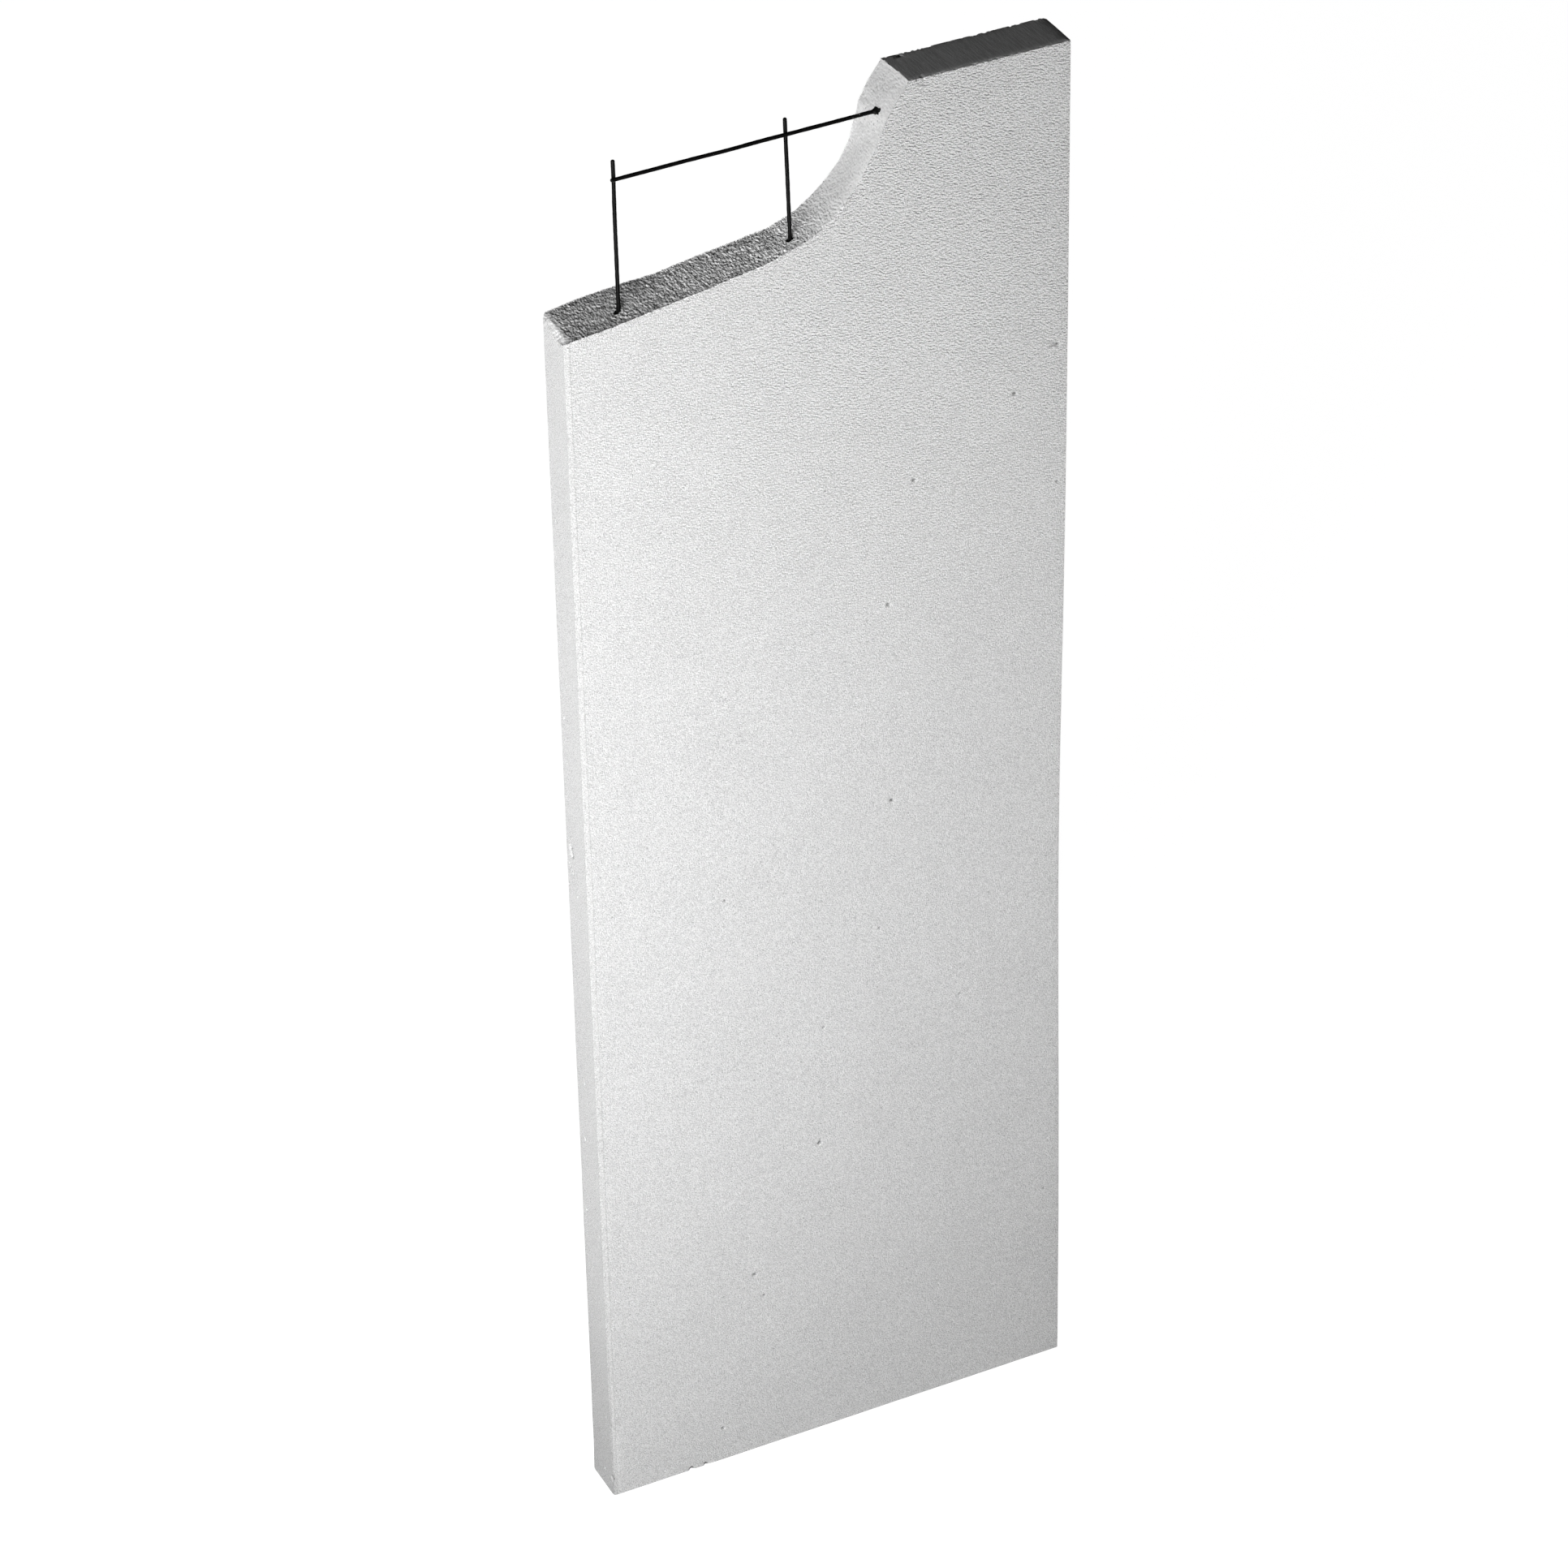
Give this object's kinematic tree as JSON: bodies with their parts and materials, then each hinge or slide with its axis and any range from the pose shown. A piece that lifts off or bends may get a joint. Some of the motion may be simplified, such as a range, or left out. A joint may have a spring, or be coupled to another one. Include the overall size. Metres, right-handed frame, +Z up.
{
  "type": "reinforced aerated concrete wall panel",
  "caption": "Tall flat aerated-concrete wall panel with chamfered arrises and one top corner cut away to show its coated reinforcing mat.",
  "frame": {"origin": "middle of the face that the panel stands on", "axes": "+Z up along the panel's height; +X along its width, with the cut-away at the -X top corner; +Y from the front face to the back face"},
  "size_m": [0.6, 0.06, 1.8],
  "materials": {
    "aerated_concrete": "matte, fine-pored, lightly rippled by the cutting wire",
    "coated_wire": "dipped black corrosion protection, satin, uneven"
  },
  "bodies": {
    "root": {"panel_body": "aerated_concrete", "long_bar_1": "coated_wire", "long_bar_2": "coated_wire", "long_bar_3": "coated_wire", "cross_bar_1": "coated_wire", "cross_bar_2": "coated_wire", "cross_bar_3": "coated_wire", "cross_bar_4": "coated_wire", "cross_bar_5": "coated_wire", "cross_bar_6": "coated_wire"}
  },
  "joints": []
}
